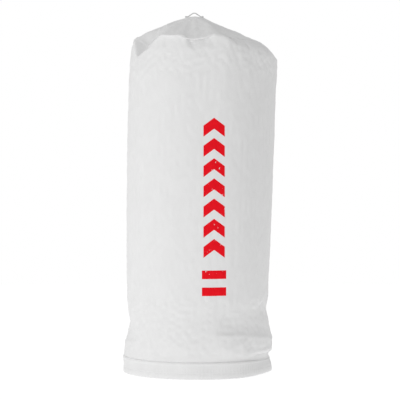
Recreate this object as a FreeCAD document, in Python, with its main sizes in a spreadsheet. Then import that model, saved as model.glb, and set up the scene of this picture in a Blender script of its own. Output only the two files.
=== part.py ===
import FreeCAD, Part
import math
import os
import Sketcher

# Filter bag of a woodworking dust collector: a felt tube closed by a round top panel,
# hung from a cord loop and drawn over a round drum by an elasticated cuff.
# Millimetres, +Z up, origin in the middle of the mouth, front of the bag towards -Y.

V = FreeCAD.Vector
doc = FreeCAD.newDocument("filter_bag")

# ---------------------------------------------------------------- driving dimensions
DIMENSIONS = {
    # the drum that the mouth goes over
    "drum_radius": 250.0,
    "drum_gap": 0.5,
    # sheet goods
    "felt_thickness": 1.2,
    "layer_gap": 0.2,
    "thread_width": 0.8,
    "thread_gap": 0.05,
    # elasticated cuff: a strip folded into a channel
    "cuff_height": 56.0,
    "header_height": 20.0,
    "elastic_width": 26.0,
    "wall_tuck": 8.0,
    "cuff_upper_stitch_height": 50.5,
    "cuff_lower_stitch_height": 18.5,
    # wall: height, sideways shift and outer radius of each section
    "belly_height": 100.0,
    "belly_shift": 1.0,
    "belly_radius": 254.0,
    "neck_height": 200.0,
    "neck_shift": 5.0,
    "neck_radius": 236.0,
    "waist_height": 290.0,
    "waist_shift": 2.0,
    "waist_radius": 242.0,
    "hip_height": 440.0,
    "hip_shift": 3.5,
    "hip_radius": 247.0,
    "middle_height": 640.0,
    "middle_shift": 8.0,
    "middle_radius": 250.5,
    "chest_height": 860.0,
    "chest_shift": 14.0,
    "chest_radius": 253.0,
    "shoulder_height": 1040.0,
    "shoulder_shift": 19.5,
    "shoulder_radius": 253.5,
    "rim_shift": 9.0,
    "rim_radius": 234.0,
    "rim_height": 1132.0,
    "seam_allowance": 12.0,
    # lapped closing seam down the back of the wall
    "lap_width": 16.0,
    "lap_row_offset": 4.5,
    # top panel: an oblique tent up to a small flat that carries the loop
    "apex_shift": -11.0,
    "apex_radius": 40.0,
    "apex_height": 1217.0,
    "patch_radius": 38.5,
    "patch_stitch_radius": 35.5,
    # hanging loop of round cord
    "cord_radius": 2.0,
    "cord_gap": 0.1,
    "loop_half_length": 32.0,
    "loop_foot_inner": 25.0,
    "loop_peak": 12.8,
    "loop_foot_bend": 9.0,
    "loop_top_bend": 12.0,
    "tack_length": 5.0,
    "tack_thickness": 0.7,
    # printed hanging mark: arrowheads over two bars, all pointing to the loop
    "mark_shift": 55.0,
    "mark_width": 70.0,
    "mark_stroke": 36.0,
    "mark_point_rise": 26.0,
    "mark_pitch": 66.4,
    "mark_first_height": 402.0,
    "mark_bar_height": 276.0,
    "mark_bar_thickness": 28.0,
    "mark_bar_pitch": 56.0,
    "mark_bar_width": 80.0,
    "ink_thickness": 0.25,
}
ARROWHEADS = 7
BARS = 2

dims = doc.addObject("Spreadsheet::Sheet", "Dims")
for row, (alias, value) in enumerate(DIMENSIONS.items(), start=1):
    dims.set(f"A{row}", alias)
    dims.set(f"B{row}", str(value))
    dims.setAlias(f"B{row}", alias)
doc.recompute()

LAYER = "(Dims.felt_thickness + Dims.layer_gap)"
CUFF_INNER = "(Dims.drum_radius + Dims.drum_gap)"
HEM_OUTER = f"({CUFF_INNER} + Dims.felt_thickness + {LAYER})"
CUFF_OUTER = f"({HEM_OUTER} + {LAYER})"
THREAD_OFFSET = "(Dims.thread_width / 2 + Dims.thread_gap)"
WALL_TOP = "(Dims.rim_height - Dims.seam_allowance)"

# Each wall section between the cuff and the top seam: height, shift and outer radius.
WALL_SECTIONS = [
    ("Dims.cuff_height", "0", HEM_OUTER),
    ("Dims.belly_height", "Dims.belly_shift", "Dims.belly_radius"),
    ("Dims.neck_height", "Dims.neck_shift", "Dims.neck_radius"),
    ("Dims.waist_height", "Dims.waist_shift", "Dims.waist_radius"),
    ("Dims.hip_height", "Dims.hip_shift", "Dims.hip_radius"),
    ("Dims.middle_height", "Dims.middle_shift", "Dims.middle_radius"),
    ("Dims.chest_height", "Dims.chest_shift", "Dims.chest_radius"),
    ("Dims.shoulder_height", "Dims.shoulder_shift", "Dims.shoulder_radius"),
    (WALL_TOP, "Dims.rim_shift", "Dims.rim_radius"),
]


# ---------------------------------------------------------------- sketch helpers
def new_body(label):
    body = doc.addObject("PartDesign::Body", label)
    body.Label = label
    return body


def origin_plane(body, role):
    return next(f for f in body.Origin.OriginFeatures if f.Role == role)


def new_sketch(body, name, plane="XY_Plane", base_x="0", base_y="0", base_z="0"):
    """A sketch on an origin plane of its body, moved by expressions in the plane's own axes."""
    sketch = body.newObject("Sketcher::SketchObject", name)
    sketch.AttachmentSupport = [(origin_plane(body, plane), "")]
    sketch.MapMode = "FlatFace"
    sketch.setExpression("AttachmentOffset.Base.x", f"({base_x}) * 1 mm")
    sketch.setExpression("AttachmentOffset.Base.y", f"({base_y}) * 1 mm")
    sketch.setExpression("AttachmentOffset.Base.z", f"({base_z}) * 1 mm")
    return sketch


def add_circle(sketch, radius):
    """A circle about the sketch's origin whose radius is an expression."""
    index = sketch.addGeometry(Part.Circle(V(0, 0, 0), V(0, 0, 1), 10.0), False)
    sketch.addConstraint(Sketcher.Constraint("Coincident", index, 3, -1, 1))
    number = sketch.addConstraint(Sketcher.Constraint("Radius", index, 10.0))
    sketch.setExpression(f"Constraints[{number}]", f"({radius}) * 1 mm")


def circle_sketch(body, name, height, shift, radius):
    sketch = new_sketch(body, name, base_x=shift, base_z=height)
    add_circle(sketch, radius)
    return sketch


def ring_sketch(body, name, height, shift, outer, inner):
    sketch = new_sketch(body, name, base_x=shift, base_z=height)
    add_circle(sketch, outer)
    add_circle(sketch, inner)
    return sketch


def add_box(sketch, left, bottom, width, height):
    """An axis-aligned rectangle of a sketch: place and size are expressions."""
    corners = [V(1, 1, 0), V(2, 1, 0), V(2, 2, 0), V(1, 2, 0)]
    first = sketch.GeometryCount
    for start, end in zip(corners, corners[1:] + corners[:1]):
        sketch.addGeometry(Part.LineSegment(start, end), False)
    bottom_edge, right_edge, top_edge, left_edge = range(first, first + 4)
    for one, two in zip(range(first, first + 4), [*range(first + 1, first + 4), first]):
        sketch.addConstraint(Sketcher.Constraint("Coincident", one, 2, two, 1))
    for kind, edge in (
        ("Horizontal", bottom_edge),
        ("Vertical", right_edge),
        ("Horizontal", top_edge),
        ("Vertical", left_edge),
    ):
        sketch.addConstraint(Sketcher.Constraint(kind, edge))
    for kind, one, two, value in (
        ("DistanceX", (-1, 1), (bottom_edge, 1), left),
        ("DistanceY", (-1, 1), (bottom_edge, 1), bottom),
        ("DistanceX", (bottom_edge, 1), (bottom_edge, 2), width),
        ("DistanceY", (left_edge, 2), (left_edge, 1), height),
    ):
        number = sketch.addConstraint(Sketcher.Constraint(kind, *one, *two, 1.0))
        sketch.setExpression(f"Constraints[{number}]", f"({value}) * 1 mm")


def pad(body, name, sketch, length):
    feature = body.newObject("PartDesign::Pad", name)
    feature.Profile = sketch
    feature.setExpression("Length", f"({length}) * 1 mm")
    return feature


def pocket(body, name, sketch, length):
    """A cut from the sketch along the side a pad would grow to."""
    feature = body.newObject("PartDesign::Pocket", name)
    feature.Profile = sketch
    feature.Reversed = True
    feature.setExpression("Length", f"({length}) * 1 mm")
    return feature


def loft(body, name, kind, sketches, ruled=False):
    feature = body.newObject(f"PartDesign::{kind}", name)
    feature.Profile = sketches[0]
    feature.Sections = sketches[1:]
    feature.Ruled = ruled
    return feature


def ring_body(label, height, length, outer, inner, shift="0"):
    body = new_body(label)
    sketch = ring_sketch(body, f"{label}_section", height, shift, outer, inner)
    pad(body, f"{label}_pad", sketch, length)
    return body


def wall_loft(body, name, kind, offset):
    """The wall's outer form, grown by an expression, as one loft through all its sections."""
    sections = [
        circle_sketch(body, f"{name}_{i}", height, shift, f"{radius} + {offset}")
        for i, (height, shift, radius) in enumerate(WALL_SECTIONS)
    ]
    return loft(body, name, kind, sections)


def back_strip_loft(body, name, offset, across, width, thickness):
    """A strip that runs up the back of the wall, its inner face at an offset from the wall."""
    sections = []
    for i, (height, shift, radius) in enumerate(WALL_SECTIONS):
        sketch = new_sketch(body, f"{name}_{i}", base_x=shift, base_z=height)
        add_box(sketch, f"{across} - {width} / 2", f"{radius} + {offset}", width, thickness)
        sections.append(sketch)
    return loft(body, name, "AdditiveLoft", sections)


def thread_ring(label, height, shift, radius):
    """One row of stitching round the bag, as a plain thread of its real width."""
    ring = doc.addObject("Part::Torus", label)
    ring.Label = label
    ring.setExpression("Radius1", f"({radius}) * 1 mm")
    ring.setExpression("Radius2", "Dims.thread_width / 2 * 1 mm")
    ring.setExpression("Placement.Base.x", f"({shift}) * 1 mm")
    ring.setExpression("Placement.Base.z", f"({height}) * 1 mm")
    return ring


def mirrored_twin(name, source, plane_x):
    """A copy of a body mirrored left to right about an upright plane at plane_x."""
    twin = doc.addObject("Part::Mirroring", name)
    twin.Source = source
    twin.Normal = V(1, 0, 0)
    twin.setExpression("Base.x", f"({plane_x}) * 1 mm")
    return twin


def compound(label, parts):
    """Several separate solids that make one sub-part."""
    group = doc.addObject("Part::Compound", label)
    group.Label = label
    group.Links = parts
    return group


# ---------------------------------------------------------------- wall panel
def make_wall_panel():
    """The felt tube: tucked into the cuff below, lapped down the back, allowance on top."""
    body = new_body("wall_panel")
    wall_loft(body, "wall_outer", "AdditiveLoft", "0")
    wall_loft(body, "wall_inner", "SubtractiveLoft", "-Dims.felt_thickness")
    tuck = ring_sketch(
        body,
        "wall_tuck_section",
        "Dims.cuff_height - Dims.wall_tuck",
        "0",
        HEM_OUTER,
        f"{HEM_OUTER} - Dims.felt_thickness",
    )
    pad(body, "wall_tuck_pad", tuck, "Dims.wall_tuck")
    allowance = ring_sketch(
        body,
        "wall_allowance_section",
        WALL_TOP,
        "Dims.rim_shift",
        "Dims.rim_radius",
        "Dims.rim_radius - Dims.felt_thickness",
    )
    pad(body, "wall_allowance_pad", allowance, "Dims.seam_allowance")
    back_strip_loft(
        body,
        "wall_lap",
        "-Dims.felt_thickness / 2",
        "0",
        "Dims.lap_width",
        "Dims.felt_thickness * 3 / 2",
    )
    return body


def make_side_seam_stitches():
    """Two rows of thread that hold the lap, one near each of its edges."""
    rows = []
    for name, side in (("left", -1), ("right", 1)):
        body = new_body(f"side_seam_row_{name}")
        back_strip_loft(
            body,
            f"side_seam_{name}",
            "Dims.felt_thickness + Dims.thread_gap",
            f"{side} * Dims.lap_row_offset",
            "Dims.thread_width",
            "Dims.thread_width",
        )
        rows.append(body)
    return compound("side_seam_stitches", rows)


# ---------------------------------------------------------------- top panel
PANEL_BASE = "(Dims.rim_height + Dims.layer_gap)"
RIM_OUTER = f"(Dims.rim_radius - {LAYER})"
PANEL_SLOPE = "atan((Dims.apex_height - Dims.rim_height) / (Dims.rim_radius - Dims.apex_radius))"
PANEL_DROP = f"(Dims.felt_thickness / cos({PANEL_SLOPE}))"  # the felt cut straight down
BASE_INSET = f"(Dims.felt_thickness / sin({PANEL_SLOPE}))"  # the felt cut level at its foot


def make_top_panel():
    """The round panel, hung from its middle as a tent, its edge turned down inside the wall."""
    body = new_body("top_panel")
    outer = [
        circle_sketch(body, "tent_outer_base", PANEL_BASE, "Dims.rim_shift", "Dims.rim_radius"),
        circle_sketch(
            body, "tent_outer_apex", "Dims.apex_height", "Dims.apex_shift", "Dims.apex_radius"
        ),
    ]
    loft(body, "tent_outer", "AdditiveLoft", outer, ruled=True)
    inner = [
        circle_sketch(
            body,
            "tent_inner_base",
            PANEL_BASE,
            "Dims.rim_shift",
            f"Dims.rim_radius - {BASE_INSET}",
        ),
        circle_sketch(
            body,
            "tent_inner_apex",
            f"Dims.apex_height - {PANEL_DROP}",
            "Dims.apex_shift",
            "Dims.apex_radius - Dims.layer_gap",
        ),
    ]
    loft(body, "tent_inner", "SubtractiveLoft", inner, ruled=True)
    rim = ring_sketch(
        body,
        "turned_rim_section",
        WALL_TOP,
        "Dims.rim_shift",
        RIM_OUTER,
        f"{RIM_OUTER} - Dims.felt_thickness",
    )
    pad(body, "turned_rim", rim, "Dims.seam_allowance + Dims.felt_thickness / 2")
    return body


def make_reinforcing_patch():
    """A second felt disc under the loop, inside the bag."""
    body = new_body("reinforcing_patch")
    height = f"Dims.apex_height - {PANEL_DROP} - {LAYER}"
    sketch = circle_sketch(
        body, "patch_outline", height, "Dims.apex_shift", "Dims.patch_radius"
    )
    pad(body, "patch_pad", sketch, "Dims.felt_thickness")
    return body


# ---------------------------------------------------------------- cuff
def make_elastic_cuff():
    """A felt strip folded at the mouth: an inner and an outer wall joined by the fold."""
    body = new_body("elastic_cuff")
    fold = ring_sketch(body, "cuff_fold_section", "0", "0", CUFF_OUTER, CUFF_INNER)
    pad(body, "cuff_fold", fold, "Dims.felt_thickness")
    for name, outer in (("outer", CUFF_OUTER), ("inner", f"({CUFF_INNER} + Dims.felt_thickness)")):
        wall = ring_sketch(
            body, f"cuff_{name}_section", "0", "0", outer, f"{outer} - Dims.felt_thickness"
        )
        pad(body, f"cuff_{name}_wall", wall, "Dims.cuff_height")
    return body


def make_elastic_band():
    return ring_body(
        "elastic_band",
        "Dims.header_height + 1",
        "Dims.elastic_width",
        HEM_OUTER,
        f"{HEM_OUTER} - Dims.felt_thickness",
    )


def make_cuff_closing_stitches():
    """Two short upright rows that close the cuff strip into a ring, at the back."""
    body = new_body("cuff_closing_row")
    sketch = new_sketch(body, "cuff_closing_section", base_z="Dims.header_height + 2")
    add_box(
        sketch,
        "Dims.lap_row_offset - Dims.thread_width / 2",
        f"{CUFF_OUTER} + Dims.thread_gap",
        "Dims.thread_width",
        "Dims.thread_width",
    )
    pad(body, "cuff_closing_pad", sketch, "Dims.elastic_width + 2")
    return compound("cuff_closing_stitches", [body, mirrored_twin("cuff_closing_twin", body, "0")])


# ---------------------------------------------------------------- hanging loop
LOOP_HEIGHT = "(Dims.apex_height + Dims.cord_radius + Dims.cord_gap)"


def add_loop_spine(sketch):
    """Foot, bend, flank, top bend, flank, bend and foot, tangent all the way."""
    length, inner, peak = dims.loop_half_length, dims.loop_foot_inner, dims.loop_peak
    foot_bend, top_bend = dims.loop_foot_bend, dims.loop_top_bend
    slope = math.atan2(peak, inner - foot_bend / 2)  # a first guess that the constraints refine
    up = math.pi / 2
    upward = V(0, 0, 1)
    left_bend = Part.Circle(V(-inner, foot_bend, 0), upward, foot_bend)
    right_bend = Part.Circle(V(inner, foot_bend, 0), upward, foot_bend)
    top = Part.Circle(V(0, peak - top_bend, 0), upward, top_bend)
    left_arc = Part.ArcOfCircle(left_bend, -up, slope - up)
    top_arc = Part.ArcOfCircle(top, up - slope, up + slope)
    right_arc = Part.ArcOfCircle(right_bend, -up - slope, -up)
    for edge in (
        Part.LineSegment(V(-length, 0, 0), V(-inner, 0, 0)),
        left_arc,
        Part.LineSegment(left_arc.EndPoint, top_arc.EndPoint),
        top_arc,
        Part.LineSegment(top_arc.StartPoint, right_arc.StartPoint),
        right_arc,
        Part.LineSegment(V(inner, 0, 0), V(length, 0, 0)),
    ):
        sketch.addGeometry(edge, False)
    foot_left, bend_left, flank_left, crown, flank_right, bend_right, foot_right = range(7)
    for one, end, two, start in (
        (foot_left, 2, bend_left, 1),
        (bend_left, 2, flank_left, 1),
        (flank_left, 2, crown, 2),
        (crown, 1, flank_right, 1),
        (flank_right, 2, bend_right, 1),
        (bend_right, 2, foot_right, 1),
    ):
        sketch.addConstraint(Sketcher.Constraint("Tangent", one, end, two, start))
    sketch.addConstraint(Sketcher.Constraint("PointOnObject", foot_left, 1, -1))
    sketch.addConstraint(Sketcher.Constraint("PointOnObject", foot_right, 2, -1))
    sketch.addConstraint(Sketcher.Constraint("Horizontal", foot_left))
    sketch.addConstraint(Sketcher.Constraint("Horizontal", foot_right))
    sketch.addConstraint(Sketcher.Constraint("PointOnObject", crown, 3, -2))
    for constraint, expression in (
        (("Radius", bend_left, foot_bend), "Dims.loop_foot_bend"),
        (("Radius", bend_right, foot_bend), "Dims.loop_foot_bend"),
        (("Radius", crown, top_bend), "Dims.loop_top_bend"),
        (("DistanceX", foot_left, 1, -1, 1, length), "Dims.loop_half_length"),
        (("DistanceX", foot_left, 2, -1, 1, inner), "Dims.loop_foot_inner"),
        (("DistanceX", -1, 1, foot_right, 2, length), "Dims.loop_half_length"),
        (("DistanceX", -1, 1, foot_right, 1, inner), "Dims.loop_foot_inner"),
    ):
        number = sketch.addConstraint(Sketcher.Constraint(*constraint))
        sketch.setExpression(f"Constraints[{number}]", f"{expression} * 1 mm")


def make_hanging_loop():
    """Round cord: two straight sewn feet and a low arch between them, in the XZ plane."""
    body = new_body("hanging_loop")
    spine = new_sketch(body, "loop_spine", "XZ_Plane", base_x="Dims.apex_shift", base_y=LOOP_HEIGHT)
    add_loop_spine(spine)
    start = "Dims.apex_shift - Dims.loop_half_length"
    section = new_sketch(body, "loop_section", "YZ_Plane", base_y=LOOP_HEIGHT, base_z=start)
    add_circle(section, "Dims.cord_radius")
    doc.recompute()
    pipe = body.newObject("PartDesign::AdditivePipe", "loop_cord")
    pipe.Profile = section
    pipe.Spine = (spine, [f"Edge{i + 1}" for i in range(spine.GeometryCount)])
    return body


def make_loop_bar_tacks():
    """A close band of thread over each foot of the loop, down to the felt on both sides."""
    body = new_body("bar_tack_left")
    start = "Dims.apex_shift - Dims.loop_half_length + Dims.layer_gap"
    opening = "(Dims.cord_radius + Dims.cord_gap)"
    for name, feature, radius in (
        ("saddle", pad, f"({opening} + Dims.tack_thickness)"),
        ("saddle_bore", pocket, opening),
    ):
        crown = new_sketch(body, f"{name}_crown", "YZ_Plane", base_y=LOOP_HEIGHT, base_z=start)
        add_circle(crown, radius)
        feature(body, f"{name}_top", crown, "Dims.tack_length")
        sides = new_sketch(body, f"{name}_sides", "YZ_Plane", base_y=LOOP_HEIGHT, base_z=start)
        add_box(sides, f"-{radius}", f"-{radius}", f"2 * {radius}", radius)
        feature(body, f"{name}_legs", sides, "Dims.tack_length")
    floor = new_sketch(body, "felt_level", "YZ_Plane", base_y=LOOP_HEIGHT, base_z=start)
    add_box(floor, "-10", f"-{opening} - 10", "20", "10")
    pocket(body, "saddle_feet", floor, "Dims.tack_length")
    twin = mirrored_twin("bar_tack_right", body, "Dims.apex_shift")
    return compound("loop_bar_tacks", [body, twin])


# ---------------------------------------------------------------- printed mark
def add_polygon(sketch, points):
    """A closed outline through points given as pairs of expressions."""
    count = len(points)
    turns = [2 * math.pi * i / count for i in range(count)]
    guess = [V(math.cos(turn), math.sin(turn), 0) for turn in turns]
    for i in range(count):
        sketch.addGeometry(Part.LineSegment(guess[i], guess[(i + 1) % count]), False)
    for i in range(count):
        sketch.addConstraint(Sketcher.Constraint("Coincident", i, 2, (i + 1) % count, 1))
    for i, (x, y) in enumerate(points):
        for kind, value in (("DistanceX", x), ("DistanceY", y)):
            number = sketch.addConstraint(Sketcher.Constraint(kind, -1, 1, i, 1, 1.0))
            sketch.setExpression(f"Constraints[{number}]", f"({value}) * 1 mm")


def make_printed_mark():
    """A thin coat of ink on the front: a column of arrowheads over two bars."""
    film = new_body("ink_film")
    wall_loft(film, "film_outer", "AdditiveLoft", "Dims.thread_gap + Dims.ink_thickness")
    wall_loft(film, "film_inner", "SubtractiveLoft", "Dims.thread_gap")
    half, rise, stroke = "Dims.mark_width / 2", "Dims.mark_point_rise", "Dims.mark_stroke"
    arrowhead = [
        (f"-{half}", "0"),
        ("0", rise),
        (half, "0"),
        (half, stroke),
        ("0", f"{rise} + {stroke}"),
        (f"-{half}", stroke),
    ]
    prisms = []
    for i in range(ARROWHEADS):
        foot = f"Dims.mark_first_height + {i} * Dims.mark_pitch"
        prisms.append(mark_prism(f"arrowhead_{i}", foot, add_polygon, arrowhead))
    bar = ("-Dims.mark_bar_width / 2", "0", "Dims.mark_bar_width", "Dims.mark_bar_thickness")
    for i in range(BARS):
        foot = f"Dims.mark_bar_height + {i} * Dims.mark_bar_pitch"
        prisms.append(mark_prism(f"bar_{i}", foot, lambda sketch, box: add_box(sketch, *box), bar))
    mark = doc.addObject("Part::Common", "printed_mark")
    mark.Label = "printed_mark"
    mark.Base = film
    mark.Tool = compound("mark_prisms", prisms)
    return mark


def mark_prism(name, foot, draw, outline):
    """One figure of the mark as a prism that runs forward through the ink film."""
    body = new_body(name)
    sketch = new_sketch(body, f"{name}_outline", "XZ_Plane", "Dims.mark_shift", foot)
    draw(sketch, outline)
    pad(body, f"{name}_prism", sketch, "Dims.drum_radius * 1.2")
    return body


# ---------------------------------------------------------------- build and write
SUBPARTS = [
    make_wall_panel(),
    make_side_seam_stitches(),
    make_top_panel(),
    thread_ring(
        "top_seam_stitches",
        "Dims.rim_height - Dims.seam_allowance / 2",
        "Dims.rim_shift",
        f"Dims.rim_radius + {THREAD_OFFSET}",
    ),
    thread_ring(
        "top_seam_overlock",
        f"{WALL_TOP} + Dims.thread_width",
        "Dims.rim_shift",
        f"{RIM_OUTER} - Dims.felt_thickness - {THREAD_OFFSET}",
    ),
    make_reinforcing_patch(),
    thread_ring(
        "patch_stitches",
        f"Dims.apex_height + {THREAD_OFFSET}",
        "Dims.apex_shift",
        "Dims.patch_stitch_radius",
    ),
    make_elastic_cuff(),
    make_elastic_band(),
    thread_ring(
        "cuff_upper_stitches", "Dims.cuff_upper_stitch_height", "0", f"{CUFF_OUTER} + {THREAD_OFFSET}"
    ),
    thread_ring(
        "cuff_lower_stitches", "Dims.cuff_lower_stitch_height", "0", f"{CUFF_OUTER} + {THREAD_OFFSET}"
    ),
    make_cuff_closing_stitches(),
    make_hanging_loop(),
    make_loop_bar_tacks(),
    make_printed_mark(),
]
doc.recompute()

for item in doc.Objects:
    failed = {"Invalid", "Error"} & set(item.State)
    if failed:
        raise RuntimeError(f"{item.Label} failed: {item.State}")

os.makedirs("parts", exist_ok=True)
for item in SUBPARTS:
    shape = item.Shape
    if shape.isNull() or not shape.isValid() or not shape.Solids:
        raise RuntimeError(f"{item.Label} has no valid solid")
    shape.exportStep(f"parts/{item.Label}.step")
    box = shape.BoundBox
    print(
        f"{item.Label}: {len(shape.Solids)} solids, {shape.Volume / 1000:.1f} cm3,"
        f" x {box.XMin:.1f}..{box.XMax:.1f} y {box.YMin:.1f}..{box.YMax:.1f}"
        f" z {box.ZMin:.1f}..{box.ZMax:.1f}"
    )
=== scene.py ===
"""The looks of a dust collector's filter bag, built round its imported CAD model.

The bag is felt: a wall tube, a round top panel hung from a cord loop, and a gathered cuff.
Metres, +Z up, the front of the bag towards -Y. Angles round the bag are in degrees, start at
the front and grow towards +X, so the right-hand side is at +90.
"""

import math

import bpy
import numpy as np
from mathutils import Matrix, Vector, noise
from mathutils.bvhtree import BVHTree


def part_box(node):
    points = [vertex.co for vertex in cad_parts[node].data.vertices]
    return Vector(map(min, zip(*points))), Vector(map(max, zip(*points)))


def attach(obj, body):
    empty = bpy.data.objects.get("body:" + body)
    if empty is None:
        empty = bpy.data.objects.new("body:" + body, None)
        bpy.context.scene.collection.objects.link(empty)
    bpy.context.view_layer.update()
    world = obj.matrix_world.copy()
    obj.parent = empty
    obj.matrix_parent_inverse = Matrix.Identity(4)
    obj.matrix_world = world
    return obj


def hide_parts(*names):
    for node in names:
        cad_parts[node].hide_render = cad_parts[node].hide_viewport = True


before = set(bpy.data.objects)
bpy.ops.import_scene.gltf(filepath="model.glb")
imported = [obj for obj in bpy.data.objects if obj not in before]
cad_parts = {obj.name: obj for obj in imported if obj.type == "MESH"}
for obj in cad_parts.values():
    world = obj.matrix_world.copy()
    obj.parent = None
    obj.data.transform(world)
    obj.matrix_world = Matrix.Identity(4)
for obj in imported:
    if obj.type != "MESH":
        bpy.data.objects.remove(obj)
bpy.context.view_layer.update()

# ---------------------------------------------------------------- driving dimensions
BAG = "bag"
LOOP = "loop"
MM = 0.001
FELT = 1.2 * MM  # thickness of the felt
THREAD = 0.8 * MM  # thickness of the sewing thread
STITCH_PITCH = 4.2 * MM
STITCH_SHARE = 0.78  # how much of the pitch one stitch covers

# the flat cut
WALL_WIDTH = 1.602  # once round the bag
WALL_LENGTH = 1.088  # from its foot under the cuff's upper edge to the top seam
PANEL_RADIUS = WALL_WIDTH / (2 * math.pi)

# how the bag hangs
APEX = Vector((-0.011, 0.0, 1.2167))
APEX_FLAT = 0.13  # share of the panel's radius that the patch keeps level
WALL_FOOT = 0.05  # height of the wall's foot, inside the cuff
CUFF_TOP = 0.056
PRESSED_IN = 1.2 * MM  # how far the cuff's upper edge presses the wall in
# how much lower the cuff's upper edge lies: angle, droop
CUFF_DROOP = [
    (-180, 0.0), (30, 0.0), (46, 0.001), (62, 0.0042), (90, 0.0045), (112, 0.003), (130, 0.0),
]
# how far the cuff's upper edge is drawn in: angle, distance
CUFF_NECK = [
    (-180, 0.0), (30, 0.0), (46, 0.001), (62, 0.004), (90, 0.0065), (112, 0.003), (130, 0.0),
]
ARC = PANEL_RADIUS * math.pi / 180  # felt between two angles one degree apart

# outline of the wall: height, then how far it reaches to the left, right, front and back
LEFT = [
    (0.05, -0.2524), (0.0555, -0.2524), (0.059, -0.2534), (0.066, -0.253), (0.076, -0.2528),
    (0.092, -0.2508), (0.115, -0.2482), (0.14, -0.2465), (0.174, -0.2445), (0.215, -0.2425),
    (0.25, -0.2425), (0.34, -0.2432), (0.6, -0.243), (0.85, -0.2395), (0.96, -0.2362),
    (1.05, -0.2325), (1.09, -0.2285), (1.125, -0.2225),
]
RIGHT = [
    (0.05, 0.247), (0.0535, 0.245), (0.057, 0.244), (0.0605, 0.244), (0.065, 0.246),
    (0.072, 0.253), (0.08, 0.256), (0.092, 0.2568), (0.132, 0.2562), (0.158, 0.249),
    (0.182, 0.2445), (0.206, 0.2372), (0.22, 0.2362), (0.245, 0.2422), (0.3, 0.244),
    (0.445, 0.2508), (0.6, 0.2575), (0.735, 0.2615), (0.85, 0.266), (0.95, 0.269), (1.02, 0.2735),
    (1.068, 0.2756), (1.125, 0.2756),
]
DEPTH = [
    (0.05, 0.2524), (0.0555, 0.2524), (0.059, 0.2536), (0.066, 0.254), (0.082, 0.2552),
    (0.105, 0.2565), (0.14, 0.255), (0.17, 0.2515), (0.205, 0.2485), (0.25, 0.249), (0.4, 0.2525),
    (0.7, 0.255), (1.0, 0.2545), (1.125, 0.253),
]
# top seam: angle, height; and where the wall folds over towards it
SEAM_HEIGHT = [
    (-180, 1.128), (-150, 1.139), (-120, 1.146), (-92, 1.148), (-80, 1.1425), (-74, 1.128),
    (-67, 1.1116), (-60, 1.109), (-52, 1.11), (-44, 1.1235), (-38, 1.137), (-28, 1.136),
    (-17, 1.133), (-12, 1.1235), (-1, 1.123), (5, 1.128), (13, 1.141), (24, 1.132), (40, 1.129),
    (60, 1.126), (76, 1.123), (90, 1.124), (120, 1.131), (150, 1.134),
]
FOLD_HEIGHT = [
    (-180, 1.112), (-150, 1.128), (-120, 1.135), (-92, 1.14), (-84, 1.137), (-76, 1.13),
    (-70, 1.11), (-66, 1.084), (-63, 1.076), (-59, 1.0815), (-52, 1.094), (-46, 1.106),
    (-41, 1.12), (-38, 1.129), (-28, 1.128), (-17, 1.125), (-12, 1.1155), (-1, 1.115), (5, 1.12),
    (13, 1.133), (24, 1.117), (40, 1.101), (60, 1.086), (90, 1.068), (115, 1.078), (140, 1.098),
]
SEAM_CENTRE = 0.0088
SEAM_HALF_WIDTH = 0.217
SEAM_HALF_DEPTH = 0.2525
# pinches of the top seam: angle, half-width in degrees, how far in
SEAM_PINCHES = [
    (-69, 6.5, 0.022), (-62, 10, 0.012), (26, 6, 0.006), (40, 6, 0.007), (118, 12, 0.012),
    (-150, 12, 0.01), (165, 16, 0.006),
]
LIP_HEIGHT = 4.6 * MM  # the stiff edge that the turned seam makes
RECESS_HEIGHT = 0.042  # the felt under it comes out again over about this height
# how far the wall sinks in just under the seam: angle, depth
SEAM_RECESS = [
    (-180, 0.004), (-120, 0.003), (-70, 0.0015), (-40, 0.0015), (-28, 0.002), (-19, 0.002),
    (-15, 0.003), (-11.5, 0.015), (-4, 0.02), (2, 0.019), (6, 0.012), (10, 0.003), (16, 0.002),
    (24, 0.005), (32, 0.002), (40, 0.005), (50, 0.002), (90, 0.001), (140, 0.005),
]
# how the shoulder between the wall and the seam sags (negative: swells out): angle, depth
SHOULDER_SAG = [
    (-180, 0.002), (-120, 0.0), (-84, 0.0), (-76, 0.003), (-68, 0.009), (-58, 0.006), (-48, 0.0),
    (14, 0.0), (30, -0.002), (48, -0.005), (66, -0.005), (80, 0.0), (100, 0.0), (150, 0.002),
]
# how round the wall bends over into its shoulder: angle, 0 for a crisp fold to 1
SHOULDER_ROUND = [
    (-180, 0.3), (-120, 0.3), (-84, 0.2), (-60, 0.15), (-44, 0.3), (14, 0.5), (30, 1.0), (68, 1.0),
    (80, 0.12), (100, 0.12), (120, 0.5),
]
# the top panel between its centre and its seam: angle, rise in the middle of the way
PANEL_RIDGES = [
    (-180, -0.002), (-150, 0.005), (-120, -0.004), (-90, -0.001), (-72, 0.0), (-54, 0.0),
    (-36, 0.003), (-24, 0.002), (-12, 0.01), (-4, 0.018), (6, 0.016), (14, 0.008), (30, 0.0),
    (52, 0.0), (90, 0.002), (120, -0.003), (148, 0.008),
]
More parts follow.
